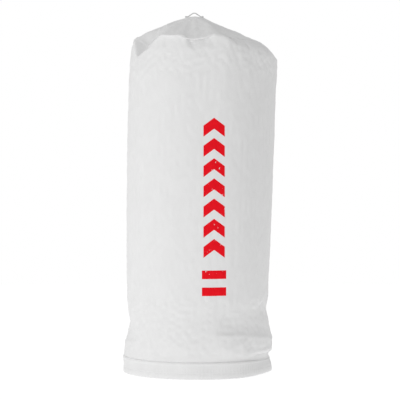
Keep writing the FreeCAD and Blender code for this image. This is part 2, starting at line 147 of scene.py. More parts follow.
# folds of the top panel seen from above: path of (x, y, rise), how wide they are on the left of
# the path's direction and on its right
PANEL_FOLDS = [
    # the taut crest to the left shoulder, and its branch down to the front seam
    ([(-0.03, -0.012, 0.0), (-0.076, -0.045, 0.023), (-0.104, -0.066, 0.034),
      (-0.128, -0.07, 0.038), (-0.15, -0.06, 0.027), (-0.172, -0.046, 0.012),
      (-0.2, -0.04, 0.0)], 0.022, 0.034),
    ([(-0.106, -0.075, 0.0), (-0.109, -0.095, 0.013), (-0.114, -0.128, 0.017),
      (-0.119, -0.166, 0.008), (-0.123, -0.2, 0.0)], 0.045, 0.02),
    # the edges of the front facet
    ([(0.012, -0.03, 0.0), (0.028, -0.1, 0.007), (0.045, -0.18, 0.006),
      (0.058, -0.238, 0.0)], 0.018, 0.018),
    ([(-0.018, -0.06, 0.0), (-0.034, -0.15, -0.0025), (-0.048, -0.24, 0.0)], 0.018, 0.018),
    # the right
    ([(0.1, -0.06, 0.0), (0.13, -0.13, -0.004), (0.15, -0.185, 0.0)], 0.018, 0.018),
    ([(0.08, -0.005, 0.0), (0.148, -0.01, 0.006), (0.18, -0.015, 0.0)], 0.022, 0.022),
    # the back
    ([(-0.05, 0.04, 0.0), (-0.09, 0.13, 0.006), (-0.112, 0.204, 0.0)], 0.018, 0.018),
    ([(0.05, 0.06, 0.0), (0.085, 0.14, 0.006), (0.11, 0.205, 0.0)], 0.018, 0.018),
    ([(-0.01, 0.06, 0.0), (0.0, 0.15, -0.004), (0.0, 0.235, 0.0)], 0.018, 0.018),
]
# dents and creases of the wall: path of (angle, height), depth, width, lip above the line
CREASES = [
    # under the top seam, front and right
    ([(-13, 1.12), (-11.5, 1.112), (-9.5, 1.102)], 0.007, 0.0055, 0.0),
    ([(4, 1.112), (8, 1.102)], 0.004, 0.007, 0.0),
    ([(20.5, 1.128), (25, 1.119), (27.5, 1.109)], 0.009, 0.0055, 0.002),
    ([(26, 1.119), (32, 1.11), (39.5, 1.101)], 0.01, 0.006, 0.002),
    ([(-33, 1.126), (-31, 1.114)], 0.004, 0.0055, 0.0),
    # small crumples beside the long upright ridge
    ([(3, 1.062), (9, 1.04), (14, 1.018)], 0.0014, 0.0055, 0.0004),
    ([(12, 1.07), (16, 1.044)], 0.0014, 0.0045, 0.0004),
    ([(10, 1.03), (15, 1.004)], 0.0012, 0.0045, 0.0004),
    ([(-1, 1.076), (8, 1.066)], 0.001, 0.0055, 0.0),
    # the notch over the cuff on the right
    ([(46, 0.071), (56, 0.0735), (66, 0.074), (78, 0.07), (88, 0.064)], 0.008, 0.006, 0.003),
    # the back, which the wall's slack folds in the same way
    ([(-178, 0.086), (-160, 0.078), (-140, 0.072), (-118, 0.076)], 0.008, 0.011, 0.003),
    ([(150, 0.08), (168, 0.072), (184, 0.08)], 0.005, 0.011, 0.002),
    ([(-150, 1.118), (-140, 1.104)], 0.008, 0.008, 0.0),
    ([(128, 1.1), (140, 1.086)], 0.008, 0.008, 0.002),
]
# where the slack wall slumps over itself: path of the crest from left to right with how far the
# slope above each place lies in, and how high that slope is
SLUMPS = [
    ([(11.5, 0.15, 0.0), (14, 0.1465, 0.006), (18, 0.144, 0.01), (24, 0.143, 0.012),
      (38, 0.1405, 0.011), (60, 0.13, 0.009), (85, 0.119, 0.005), (104, 0.118, 0.0)], 0.034),
    ([(27, 0.135, 0.0), (32, 0.126, 0.006), (35.5, 0.112, 0.009), (37, 0.096, 0.009),
      (37.5, 0.082, 0.007), (36, 0.07, 0.0)], 0.04),
    ([(-135, 0.118, 0.0), (-115, 0.11, 0.006), (-90, 0.106, 0.01), (-70, 0.111, 0.01),
      (-58, 0.116, 0.007), (-51, 0.12, 0.003), (-47, 0.124, 0.0)], 0.042),
    ([(-178, 0.15, 0.0), (-160, 0.154, 0.011), (-140, 0.146, 0.0)], 0.03),
    ([(138, 0.15, 0.0), (156, 0.158, 0.009), (176, 0.154, 0.0)], 0.026),
]
FAN = 0.6  # how fast a slump draws in from both its ends, going up
# soft round dents (negative) and swellings: angle, height, half-width, half-height, rise
SWELLINGS = [
    (23, 0.096, 0.028, 0.018, 0.0045), (0, 0.134, 0.04, 0.022, -0.0042),
    (-12, 0.134, 0.012, 0.014, -0.002), (-24, 0.084, 0.036, 0.018, -0.003),
    (-90, 0.177, 0.06, 0.019, -0.01), (-90, 0.214, 0.05, 0.022, -0.0035),
    (66, 0.236, 0.03, 0.018, -0.006), (160, 0.105, 0.06, 0.024, 0.004),
    (-150, 0.098, 0.05, 0.022, 0.004), (-120, 0.23, 0.05, 0.03, -0.005),
]
# upright ridges and hollows of the long wall: angle, half-width in degrees, rise, from, to
UPRIGHTS = [
    (17, 7, 0.0048, 0.8, 1.16), (0, 14, -0.003, 0.6, 1.14), (-64, 16, 0.002, 0.25, 1.05),
    (52, 18, -0.002, 0.3, 1.05), (128, 10, 0.0045, 0.5, 1.12), (-128, 14, 0.0035, 0.3, 1.08),
    (165, 16, -0.003, 0.4, 1.1), (-160, 14, -0.003, 0.55, 1.12),
]


# ---------------------------------------------------------------- number helpers
def smoothstep(x):
    x = np.clip(x, 0, 1)
    return x * x * (3 - 2 * x)


def curve(stations, x):
    """A smooth line through (place, value) pairs, level beyond both ends."""
    places, values = np.array(stations, float).T
    slopes = np.gradient(values, places)
    x = np.clip(x, places[0], places[-1])
    i = np.clip(np.searchsorted(places, x) - 1, 0, len(places) - 2)
    width = places[i + 1] - places[i]
    u = (x - places[i]) / width
    return (
        values[i] * (1 + 2 * u) * (1 - u) ** 2
        + values[i + 1] * u * u * (3 - 2 * u)
        + slopes[i] * width * u * (1 - u) ** 2
        - slopes[i + 1] * width * u * u * (1 - u)
    )


def ring_curve(stations, degrees, smooth=True):
    """The same for (angle, value) pairs that go once round."""
    wrapped = [(a - 360, v) for a, v in stations[-3:]] + stations
    wrapped += [(a + 360, v) for a, v in stations[:3]]
    degrees = (np.asarray(degrees, float) + 180) % 360 - 180
    if smooth:
        return curve(wrapped, degrees)
    return np.interp(degrees, *np.array(wrapped, float).T)


def turn_from(degrees, centre):
    """Angle from a centre, between -180 and 180."""
    return (degrees - centre + 180) % 360 - 180


def path_distance(x, y, path):
    """Distance from a path, signed height above it, and share of the way along, for every (x, y)."""
    points = [np.array(p, float) for p in path]
    lengths = [np.linalg.norm(q - p) for p, q in zip(points, points[1:])]
    total, run = sum(lengths), 0.0
    nearest = np.full(x.shape, 9.0)
    side, along = np.zeros(x.shape), np.zeros(x.shape)
    for p, q, length in zip(points, points[1:], lengths):
        direction = (q - p) / length
        dx, dy = x - p[0], y - p[1]
        t = np.clip(dx * direction[0] + dy * direction[1], 0, length)
        away = np.hypot(dx - t * direction[0], dy - t * direction[1])
        closer = away < nearest
        nearest = np.where(closer, away, nearest)
        side = np.where(closer, direction[0] * dy - direction[1] * dx, side)
        along = np.where(closer, (run + t) / total, along)
        run += length
    return nearest, side, along


def path_length(path):
    return sum(math.dist(p, q) for p, q in zip(path, path[1:]))


def value_along(path, along, scale=(1, 1)):
    """The last value of each place of a path, read at shares of the way along it."""
    places = np.array([p[:2] for p in path], float) * scale
    steps = np.linalg.norm(np.diff(places, axis=0), axis=1)
    reached = np.concatenate([[0], np.cumsum(steps)]) / steps.sum()
    return np.interp(along, reached, [p[2] for p in path])


def ends_taper(along, share=0.25):
    """Fades a crease out towards both its ends."""
    return smoothstep(along / share) * smoothstep((1 - along) / share) * 0.8 + 0.2


# ---------------------------------------------------------------- the sculpted felt
def on_wall(degrees, heights, path):
    """path_distance on the wall rolled out flat, for a path of (angle, height)."""
    middle = path[len(path) // 2][0]
    flat = [((angle - middle) * ARC, z) for angle, z in path]
    return path_distance(turn_from(degrees, middle) * ARC, heights, flat)


def wall_relief(degrees, heights):
    """Everything that moves the wall in or out of its plain outline."""
    relief = np.zeros(degrees.shape)
    for path, depth, width, lip in CREASES:
        nearest, side, along = on_wall(degrees, heights, path)
        cut = np.exp(-((nearest / width) ** 1.6))
        bulge = np.exp(-(((nearest - 1.7 * width) / width) ** 2)) * (side > 0)
        relief += ends_taper(along) * (lip * bulge - depth * cut)
    for path, height in SLUMPS:
        nearest, side, along = on_wall(degrees, heights, [p[:2] for p in path])
        length = path_length([(angle * ARC, z) for angle, z, _ in path])
        fan = FAN * np.where(side > 0, nearest, 0) / length
        ends = [value_along(path, along + shift, (ARC, 1)) for shift in (-fan, fan)]
        depth = np.minimum(*ends)
        above = np.where(side > 0, nearest, 0) / height
        below = np.where(side > 0, 0, nearest) / (0.3 * height)
        slope = (1 - np.exp(-1.9 * above)) * np.exp(-((np.clip(above - 0.8, 0, None) / 1.2) ** 2))
        crest = 0.10 * np.exp(-(below**2)) * np.exp(-((above / 0.3) ** 2))
        relief += depth * (crest - slope)
    for angle, height, half_width, half_height, rise in SWELLINGS:
        across = turn_from(degrees, angle) * ARC / half_width
        relief += rise * np.exp(-(across**2) - ((heights - height) / half_height) ** 2)
    for angle, half_width, rise, low, high in UPRIGHTS:
        across = np.abs(turn_from(degrees, angle)) / half_width
        fade = smoothstep((heights - low) / 0.2) * smoothstep((high - heights) / 0.05 + 0.4)
        relief += rise * np.exp(-(across**1.4)) * fade
    relief = relief * smoothstep((heights - WALL_FOOT - 3 * MM) / 0.018)
    edge = CUFF_TOP - ring_curve(CUFF_DROOP, degrees)
    return relief - PRESSED_IN * smoothstep((edge + 0.8 * MM - heights) / (2 * MM))


def wall_point(degrees, heights):
    """The outside of the wall at angles and heights, without its shoulder."""
    turn = np.radians(degrees)
    left, right, depth = curve(LEFT, heights), curve(RIGHT, heights), curve(DEPTH, heights)
    out = wall_relief(degrees, heights)
    x = (left + right) / 2 + ((right - left) / 2 + out) * np.sin(turn)
    y = -(depth + out) * np.cos(turn)
    return np.stack([x, y, heights], axis=-1)


def seam_point(degrees):
    turn = np.radians(degrees)
    pinch = sum(p * np.exp(-((turn_from(degrees, a) / w) ** 2)) for a, w, p in SEAM_PINCHES)
    x = SEAM_CENTRE + (SEAM_HALF_WIDTH - pinch) * np.sin(turn)
    y = -(SEAM_HALF_DEPTH - pinch) * np.cos(turn)
    return np.stack([x, y, ring_curve(SEAM_HEIGHT, degrees)], axis=-1)


def outward(degrees):
    """Level direction away from the bag's axis."""
    turn = np.radians(degrees)
    return np.stack([np.sin(turn), -np.cos(turn), turn * 0], axis=-1)


def evenly(line, rows):
    """The columns of a (row, column, axis) grid with evenly spaced rows, and the length to each."""
    steps = np.linalg.norm(np.diff(line, axis=0), axis=2)
    run = np.concatenate([np.zeros((1, line.shape[1])), np.cumsum(steps, axis=0)])
    wanted = np.linspace(0, 1, rows)[:, None] * run[-1]
    points = np.empty((*wanted.shape, 3))
    for column in range(line.shape[1]):
        for axis in range(3):
            points[:, column, axis] = np.interp(
                wanted[:, column], run[:, column], line[:, column, axis]
            )
    return points, wanted


def read_grid(grid, rows, columns):
    """A (row, column) grid that wraps round, read smoothly between its points."""
    row, column = np.floor(rows).astype(int), np.floor(columns).astype(int)

    def weights(t):
        return (
            (-t + 2 * t**2 - t**3) / 2,
            (2 - 5 * t**2 + 3 * t**3) / 2,
            (t + 4 * t**2 - 3 * t**3) / 2,
            (-(t**2) + t**3) / 2,
        )

    total = np.zeros((*np.shape(rows), grid.shape[2]))
    for i, up in enumerate(weights(rows - row)):
        picked_row = np.clip(row + i - 1, 0, grid.shape[0] - 1)
        for j, across in enumerate(weights(columns - column)):
            picked = grid[picked_row, (column + j - 1) % grid.shape[1]]
            total += (up * across)[..., None] * picked
    return total


WALL_LINES = 720  # columns of the fine grid that the wall is sculpted on
WALL_STEPS = 700
ROUNDING_PASSES = 90


def sculpt_wall():
    """The wall and its shoulder as a fine grid of (row, column) points."""
    degrees = np.arange(WALL_LINES) * 360 / WALL_LINES
    fold = ring_curve(FOLD_HEIGHT, degrees)
    seam = seam_point(degrees)
    heights = WALL_FOOT + (fold - WALL_FOOT) * np.linspace(0, 1, WALL_STEPS)[:, None]
    line = wall_point(np.broadcast_to(degrees, heights.shape), heights)
    share = np.linspace(0, 1, 24)[1:, None]
    shoulder = line[-1] + (seam - line[-1]) * share[..., None]
    sag = 4 * share * (1 - share) * ring_curve(SHOULDER_SAG, degrees)
    shoulder = shoulder - (0.75 * outward(degrees) + np.array((0, 0, 0.65))) * sag[..., None]
    line, run = evenly(np.concatenate([line, shoulder]), WALL_STEPS)
    below_seam = run[-1] - run
    bend = smoothstep((below_seam - 3 * MM) / 0.012) * ring_curve(SHOULDER_ROUND, degrees)
    bend = 0.5 * bend * smoothstep((0.16 - below_seam) / 0.03)
    for _ in range(ROUNDING_PASSES):
        line[1:-1] += bend[1:-1, :, None] * ((line[2:] + line[:-2]) / 2 - line[1:-1])
    sink = 1 - np.exp(-((below_seam / LIP_HEIGHT) ** 2.4))
    sink = sink * np.clip(1 - below_seam / RECESS_HEIGHT, 0, 1) ** 1.2
    sink = sink * ring_curve(SEAM_RECESS, degrees)
    return line - outward(degrees)[None] * sink[..., None]


wall_grid = sculpt_wall()


def sculpted_wall(degrees, shares):
    """Points of the wall, shares[row, column] of the way up each column's own length of felt."""
    columns = np.broadcast_to((degrees % 360) * WALL_LINES / 360, shares.shape)
    return read_grid(wall_grid, shares * (WALL_STEPS - 1), columns)


def sculpted_panel(degrees, shares):
    """Points of the top panel, shares being 0 at its centre and 1 at the seam."""
    seam = seam_point(degrees)
    share = np.broadcast_to(shares, np.shape(degrees))[..., None]
    level = smoothstep(share / (2 * APEX_FLAT)) * share
    drop = np.clip((share - APEX_FLAT) / (1 - APEX_FLAT), 0, 1) * (1 - level) + share * level
    middle = np.array(APEX)
    points = middle + (seam - middle) * share
    points[..., 2] = middle[2] + ((seam - middle)[..., 2:] * drop)[..., 0]
    share = share[..., 0]
    rise = 4 * share * (1 - share) * share**0.5 * ring_curve(PANEL_RIDGES, degrees, False)
    for path, left_width, right_width in PANEL_FOLDS:
        nearest, side, along = path_distance(points[..., 0], points[..., 1], [p[:2] for p in path])
        width = np.where(side > 0, left_width, right_width)
        edge = smoothstep((1 - share) / 0.12)
        rise = rise + value_along(path, along) * np.exp(-((nearest / width) ** 1.15)) * edge
    points[..., 2] += rise * smoothstep(share / 0.3)
    return points


# ---------------------------------------------------------------- the cloth that settles
AROUND = 136  # columns of the settling cloth, a multiple of 8
ROWS = 90
PANEL_RINGS = AROUND // 8
CLOTH_FRAMES = 40
HOLD = 0.42  # how hard the cloth is held to its sculpted shape
CLOTH_SETTINGS = {
    "quality": 6, "mass": 0.05, "air_damping": 4,
    "tension_stiffness": 30, "compression_stiffness": 30, "shear_stiffness": 12,
    "bending_model": "ANGULAR", "bending_stiffness": 4, "bending_damping": 4,
    "tension_damping": 20, "compression_damping": 20, "shear_damping": 20,
    "vertex_group_mass": "hold", "pin_stiffness": 1.0,
    "use_pressure": True, "uniform_pressure_force": 0.4,
}


def ring_index(ring, place):
    """Vertex of a disc whose rings have 8 vertices more each, counted from its centre."""
    if ring == 0:
        return 0
    return 1 + 4 * ring * (ring - 1) + place % (8 * ring)


def disc_faces(rings):
    """Quads that fill such a disc, facing up: a square grid bent round."""
    faces = []
    for ring in range(rings):
        for side in range(4):
            inner, outer = 2 * ring * side, 2 * (ring + 1) * side
            corner = [ring_index(ring + 1, outer + k) for k in (1, 0, -1)]
            faces.append([ring_index(ring, inner), *corner])
            for m in range(2 * ring):
                faces.append([
                    ring_index(ring, inner + m),
                    ring_index(ring, inner + m + 1),
                    ring_index(ring + 1, outer + m + 2),
                    ring_index(ring + 1, outer + m + 1),
                ])
    return [face[::-1] for face in faces]


def disc_places(rings):
    """Angle and share of the radius for each vertex of such a disc."""
    degrees, shares = [0.0], [0.0]
    for ring in range(1, rings + 1):
        degrees += [45 * place / ring for place in range(8 * ring)]
        shares += [ring / rings] * (8 * ring)
    return np.array(degrees), np.array(shares)


def grid_faces(rows, columns, start=0, closed=True):
    """Quads between rows of vertices, one row above another, facing out; closed goes round."""
    faces = []
    for row in range(rows - 1):
        here = start + row * columns
        above = here + columns
        for column in range(columns if closed else columns - 1):
            across = (column + 1) % columns
            faces.append([here + column, here + across, above + across, above + column])
    return faces


def make_mesh(name, points, faces, material=None):
    mesh = bpy.data.meshes.new(name)
    mesh.from_pydata([tuple(map(float, p)) for p in points], [], [list(map(int, f)) for f in faces])
    mesh.validate()
    mesh.polygons.foreach_set("use_smooth", [True] * len(mesh.polygons))
    piece = bpy.data.objects.new(name, mesh)
    bpy.context.scene.collection.objects.link(piece)
    if material is not None:
        mesh.materials.append(material)
    return piece


def vertices_of(mesh):
    flat = np.empty(len(mesh.vertices) * 3)
    mesh.vertices.foreach_get("co", flat)
    return flat.reshape(-1, 3)


def cloth_as_hung_and_cut():
    """The bag's vertices as sculpted, and the same vertices as the felt was cut."""
    degrees = np.arange(AROUND) * 360 / AROUND
    shares = np.linspace(0, 1, ROWS + 1)[:, None] * np.ones(AROUND)
    wall = sculpted_wall(degrees, shares).reshape(-1, 3)
    panel_degrees, panel_shares = disc_places(PANEL_RINGS)
    panel = sculpted_panel(panel_degrees, panel_shares)
    turn = np.radians(degrees)
    ring = np.stack([PANEL_RADIUS * np.sin(turn), -PANEL_RADIUS * np.cos(turn)], -1)
    heights = WALL_FOOT + WALL_LENGTH * shares
    cut_wall = np.concatenate([np.broadcast_to(ring, (*shares.shape, 2)), heights[..., None]], -1)
    radius = PANEL_RADIUS * panel_shares
    turn = np.radians(panel_degrees)
    top = np.full(len(radius), WALL_FOOT + WALL_LENGTH)
    cut_panel = np.stack([radius * np.sin(turn), -radius * np.cos(turn), top], -1)
    inside = len(panel) - AROUND  # the panel's outer ring is the wall's top row
    hung = np.vstack([wall, panel[:inside]])
    return hung, np.vstack([cut_wall.reshape(-1, 3), cut_panel[:inside]])


def cloth_faces():
    faces = grid_faces(ROWS + 1, AROUND)
    wall_size = (ROWS + 1) * AROUND
    inside = 1 + 4 * PANEL_RINGS * (PANEL_RINGS - 1)
    for face in disc_faces(PANEL_RINGS):
        faces.append([wall_size + v if v < inside else ROWS * AROUND + v - inside for v in face])
    return faces


def settle(hung, cut):
    """Lets the felt find its own folds: it starts as sculpted and wants its cut size back."""
    cloth = make_mesh("settling", hung, cloth_faces())
    cloth.shape_key_add(name="hung")
    key = cloth.shape_key_add(name="cut")
    key.data.foreach_set("co", cut.astype(np.float32).ravel())
    key.value = 0.0
    hold = np.full(len(hung), HOLD)
    wall_size = (ROWS + 1) * AROUND
    hold[: 2 * AROUND] = 1
    hold[wall_size : wall_size + 1 + 4 * 3 * 2] = 1  # under the patch
    group = cloth.vertex_groups.new(name="hold")
    for i, weight in enumerate(hold):
        group.add([i], float(weight), "REPLACE")
    modifier = cloth.modifiers.new("felt", "CLOTH")
    modifier.settings.rest_shape_key = key
    for setting, value in CLOTH_SETTINGS.items():
        setattr(modifier.settings, setting, value)
    modifier.collision_settings.use_collision = False
    modifier.collision_settings.use_self_collision = False
    modifier.point_cache.frame_start = 1
    modifier.point_cache.frame_end = CLOTH_FRAMES
    scene = bpy.context.scene
    for step in range(1, CLOTH_FRAMES + 1):
        scene.frame_set(step)
    settled = cloth.evaluated_get(bpy.context.evaluated_depsgraph_get()).to_mesh()
    points = vertices_of(settled)
    scene.frame_set(1)
    bpy.data.objects.remove(cloth)
    return points


def settling_shifts():
    """How far settling moves the felt, as grids (row, column) for the wall and the panel."""
    hung, cut = cloth_as_hung_and_cut()
    moved = settle(hung, cut) - hung
    wall_size = (ROWS + 1) * AROUND
    wall = moved[:wall_size].reshape(ROWS + 1, AROUND, 3)
    degrees = np.arange(AROUND + 1) * 360 / AROUND
    panel = np.zeros((PANEL_RINGS + 1, AROUND, 3))
    for ring in range(1, PANEL_RINGS):
        first = wall_size + ring_index(ring, 0)
        values = np.vstack([moved[first : first + 8 * ring], moved[first]])
        places = np.arange(8 * ring + 1) * 45 / ring
        for axis in range(3):
            panel[ring, :, axis] = np.interp(degrees[:-1], places, values[:, axis])
    panel[PANEL_RINGS] = wall[ROWS]
    return wall, panel


wall_shift, panel_shift = settling_shifts()


def felt_grain(points, size, depth, seed):
    """Small unevenness of the felt, as a distance for each point."""
    offset = Vector((seed, 3 * seed, 7 * seed))
    flat = points.reshape(-1, 3)
    values = [noise.noise(Vector(p) / size + offset) for p in flat]
    return depth * np.array(values).reshape(points.shape[:-1])


def wall_surface(degrees, shares):
    """The settled wall: sculpted, moved by settling, with the felt's own unevenness."""
    degrees = np.asarray(degrees, float)
    shares = np.broadcast_to(shares, (np.shape(shares)[0], len(degrees)))
    points = sculpted_wall(degrees, shares)
    columns = np.broadcast_to((degrees % 360) * AROUND / 360, shares.shape)
    points = points + read_grid(wall_shift, shares * ROWS, columns)
    uneven = felt_grain(points, 0.030, 0.45 * MM, 1) + felt_grain(points, 0.011, 0.15 * MM, 2)
    uneven = uneven * smoothstep((1 - shares) * WALL_LENGTH / 0.02)
    return points + outward(degrees) * uneven[..., None]


def panel_surface(degrees, shares):
    """The settled top panel."""
    degrees, shares = np.asarray(degrees, float), np.asarray(shares, float)
    points = sculpted_panel(degrees, shares)
    points = points + read_grid(panel_shift, shares * PANEL_RINGS, (degrees % 360) * AROUND / 360)
    edge = smoothstep((1 - shares) / 0.08) * smoothstep(shares / 0.2)
    points[..., 2] += felt_grain(points, 0.028, 0.5 * MM, 3) * edge
    return points


# ---------------------------------------------------------------- node helpers
def new_material(name, roughness, **uniform):
    """A material, its shader and a function that adds and wires nodes."""
    material = bpy.data.materials.new(name)
    material.use_nodes = True
    nodes, links = material.node_tree.nodes, material.node_tree.links
    shader = nodes["Principled BSDF"]
    shader.inputs["Roughness"].default_value = roughness
    for socket, value in uniform.items():
        shader.inputs[socket.replace("_", " ")].default_value = value

    def add(kind, settings=None, **inputs):
        node = nodes.new(kind)
        for key, value in (settings or {}).items():
            setattr(node, key, value)
        for key, value in inputs.items():
            socket = node.inputs[int(key[1:]) if key[1:].isdigit() else key]  # i0 is the first
            if isinstance(value, bpy.types.NodeSocket):
                links.new(value, socket)
            else:
                socket.default_value = value
        return node

    return material, shader, add, links


def in_object_space(add, stretch=(1, 1, 1), turn=(0, 0, 0)):
    """Place on the piece in metres, stretched and turned."""
    place = add("ShaderNodeTexCoord").outputs["Object"]
    return add("ShaderNodeMapping", Vector=place, Scale=stretch, Rotation=turn).outputs["Vector"]


def noise_value(add, place, scale, detail=3.0, roughness=0.55):
    node = add("ShaderNodeTexNoise", Vector=place, Scale=scale, Detail=detail, Roughness=roughness)
    return node.outputs["Fac"]


def arithmetic(add, operation, *values):
    """The result of a Math node."""
    values = {f"i{place}": value for place, value in enumerate(values)}
    return add("ShaderNodeMath", {"operation": operation}, **values).outputs[0]


def fibres(add, scale):
    """A tangle of short fibres: fine noise, drawn out along four directions and added up."""
    total = None
    for turn in ((0.4, 0.2, 0.5), (0.1, 0.9, 1.4), (1.2, 0.3, 2.2), (0.7, 1.3, 2.9)):
        place = in_object_space(add, (1, 1, 0.16), turn)
        value = noise_value(add, place, scale, 2.0)
        total = value if total is None else arithmetic(add, "ADD", total, value)
    return arithmetic(add, "MULTIPLY", total, 0.25)


def ramp(add, value, *stops):
    """Colour for a value, from (position, grey or colour) stops."""
    node = add("ShaderNodeValToRGB", Fac=value)
    elements = node.color_ramp.elements
    while len(elements) < len(stops):
        elements.new(0.5)
    for element, (position, colour) in zip(elements, stops):
        element.position = position
        shade = (colour,) * 3 if isinstance(colour, float) else colour
        element.color = (*shade, 1)
    return node.outputs["Color"]


def bump(add, links, shader, height, distance, strength=1.0):
    node = add("ShaderNodeBump", Height=height, Distance=distance, Strength=strength)
    links.new(node.outputs["Normal"], shader.inputs["Normal"])


# ---------------------------------------------------------------- materials
def felt_material(name="needled_felt", shade=1.0, band=None):
    """White needled polyester felt: cloudy, matt, with short fibres lying every way.

    The third argument is (low, high, how much darker): heights where the colour is darkened in
    patches, a painted shade standing in for the shade of the cuff's gathered, recessed channel over
    the elastic.
    """
    material, shader, add, links = new_material(
        name, 0.94, Sheen_Weight=0.06, Sheen_Roughness=0.6, Specular_IOR_Level=0.25
    )
    clouds = noise_value(add, in_object_space(add, (1, 1, 0.7)), 21.0, 5.0, 0.6)
    fibre = fibres(add, 420.0)
    blend = arithmetic(add, "MULTIPLY_ADD", fibre, 0.55, clouds)
    colour = ramp(add, blend, (0.5, 0.825 * shade), (0.78, 0.842 * shade), (1.05, 0.856 * shade))
    if band is not None:
        # painted shade: a patchy darkening of the colour between two heights, for the shade in the
        # cuff's gathered channel
        low, high, shade_darkening = band
        place = add("ShaderNodeSeparateXYZ", i0=in_object_space(add)).outputs["Z"]
        height = add("ShaderNodeMapRange", {"clamp": True}, i0=place, i1=low, i2=high).outputs[0]
        shade_mask = ramp(add, height, (0.0, 0.0), (0.12, 1.0), (0.88, 1.0), (1.0, 0.0))
        patchy = noise_value(add, in_object_space(add, (1, 1, 0.1)), 7.0, 2.0)
        shade_amount = arithmetic(add, "MULTIPLY", shade_mask, patchy)
        shade_tint = ramp(add, shade_amount, (0.25, 1.0), (0.65, 1 - shade_darkening))
        colour = add("ShaderNodeMix", {"data_type": "RGBA", "blend_type": "MULTIPLY"},
                     Factor=1.0, i6=colour, i7=shade_tint).outputs[2]
    links.new(colour, shader.inputs["Base Color"])
    soft = noise_value(add, in_object_space(add), 140.0, 4.0, 0.6)
    bump(add, links, shader, arithmetic(add, "MULTIPLY_ADD", soft, 0.8, fibre), 0.0009, 0.55)
    return material


def thread_material():
    """Twisted polyester thread."""
    material, shader, add, links = new_material(
        "polyester_thread", 0.55, Sheen_Weight=0.2, Specular_IOR_Level=0.4
    )
    twist = add("ShaderNodeTexWave", {"bands_direction": "DIAGONAL"},
                Vector=in_object_space(add), Scale=420.0, Distortion=1.5, Detail=1.0)
    colour = ramp(add, twist.outputs["Fac"], (0.0, 0.74), (0.6, 0.86), (1.0, 0.90))
    links.new(colour, shader.inputs["Base Color"])
    bump(add, links, shader, twist.outputs["Fac"], 0.0002, 0.6)
    return material


def elastic_material():
    """Knitted elastic webbing: ribs along its length, fine loops between them."""
    material, shader, add, links = new_material("knitted_elastic", 0.7, Sheen_Weight=0.15)
    ribs = add("ShaderNodeTexWave", {"bands_direction": "Z"}, Vector=in_object_space(add),
               Scale=110.0, Distortion=0.4)
    loops = noise_value(add, in_object_space(add, (1, 1, 0.4)), 900.0, 2.0)
    mixed = arithmetic(add, "MULTIPLY_ADD", loops, 0.5, ribs.outputs["Fac"])
    colour = ramp(add, mixed, (0.1, 0.68), (0.8, 0.84), (1.4, 0.88))
    links.new(colour, shader.inputs["Base Color"])
    bump(add, links, shader, mixed, 0.0003, 0.7)
    return material


def cord_material():
    """Braided polyester cord, coloured greyer than the felt, varied in cloudy patches."""
    material, shader, add, links = new_material("braided_cord", 0.6, Sheen_Weight=0.15)
    strands = noise_value(add, in_object_space(add, (0.25, 1, 1)), 2600.0, 2.0)
    # cloudy noise that varies the cord's grey in patches
    grey_clouds = noise_value(add, in_object_space(add), 160.0, 3.0)
    mixed = arithmetic(add, "MULTIPLY_ADD", grey_clouds, 0.8, strands)
    colour = ramp(add, mixed, (0.45, 0.58), (0.85, 0.74), (1.2, 0.84))
    links.new(colour, shader.inputs["Base Color"])
    bump(add, links, shader, strands, 0.0002, 0.6)
    return material


def ink_material():
    """Red screen-printing ink that has sunk into the felt, thinner over raised fibres."""
    material, shader, add, links = new_material("printing_ink", 0.85, Specular_IOR_Level=0.1)
    fibre = fibres(add, 420.0)
    patches = noise_value(add, in_object_space(add), 60.0, 4.0)
    mixed = arithmetic(add, "MULTIPLY_ADD", patches, 0.35, fibre)
    colour = ramp(add, mixed, (0.45, (0.8, 0.004, 0.012)), (0.72, (0.88, 0.007, 0.016)),
                  (0.98, (0.92, 0.02, 0.03)))
    links.new(colour, shader.inputs["Base Color"])
    bump(add, links, shader, fibre, 0.0006, 0.5)
    return material


FELT_LOOK = felt_material()
PATCH_LOOK = felt_material("patch_felt", 0.97)
# the cuff's felt: colour 7% darker in patches from 20 to 48 mm up, a painted shade for its gathered
# channel
CUFF_LOOK_PAINTED_SHADE = felt_material("cuff_felt", 1.0, (0.020, 0.048, 0.07))
THREAD_LOOK = thread_material()
ELASTIC_LOOK = elastic_material()
CORD_LOOK = cord_material()
INK_LOOK = ink_material()


# ---------------------------------------------------------------- piece helpers
SHARP_ANGLE = math.radians(50)


def thicken(piece, thickness):
    """Gives a sheet its thickness, to the inside of its faces, and applies it."""
    modifier = piece.modifiers.new("thickness", "SOLIDIFY")
    modifier.thickness = thickness
    modifier.offset = -1
    modifier.use_even_offset = False
    apply_modifiers(piece)


def apply_modifiers(piece):
    solid = piece.evaluated_get(bpy.context.evaluated_depsgraph_get())
    mesh = bpy.data.meshes.new_from_object(solid)
    piece.modifiers.clear()
    mesh.set_sharp_from_angle(angle=SHARP_ANGLE)
    piece.data = mesh


def tube(points, radius, sides=6, taper=None):
    """Vertices and faces of a closed round tube along points; taper scales its radius."""
    points = np.asarray(points, float)
    along = np.gradient(points, axis=0)
    along /= np.linalg.norm(along, axis=1)[:, None]
    side = np.cross(along[0], (0.31, 0.17, 0.94))
    turns = np.arange(sides) * 2 * math.pi / sides
    vertices, faces = [], []
    taper = np.ones(len(points)) if taper is None else taper
    for point, direction, scale in zip(points, along, taper):
        side = side - direction * (side @ direction)
        side = side / np.linalg.norm(side)
        other = np.cross(direction, side)
        for turn in turns:
            spoke = side * math.cos(turn) + other * math.sin(turn)
            vertices.append(point + spoke * radius * scale)
    for ring in range(len(points) - 1):
        for i in range(sides):
            j = (i + 1) % sides
            here, there = ring * sides, (ring + 1) * sides
            faces.append([here + i, here + j, there + j, there + i])
    last = (len(points) - 1) * sides
    faces.append(list(range(sides))[::-1])
    faces.append([last + i for i in range(sides)])
    return vertices, faces


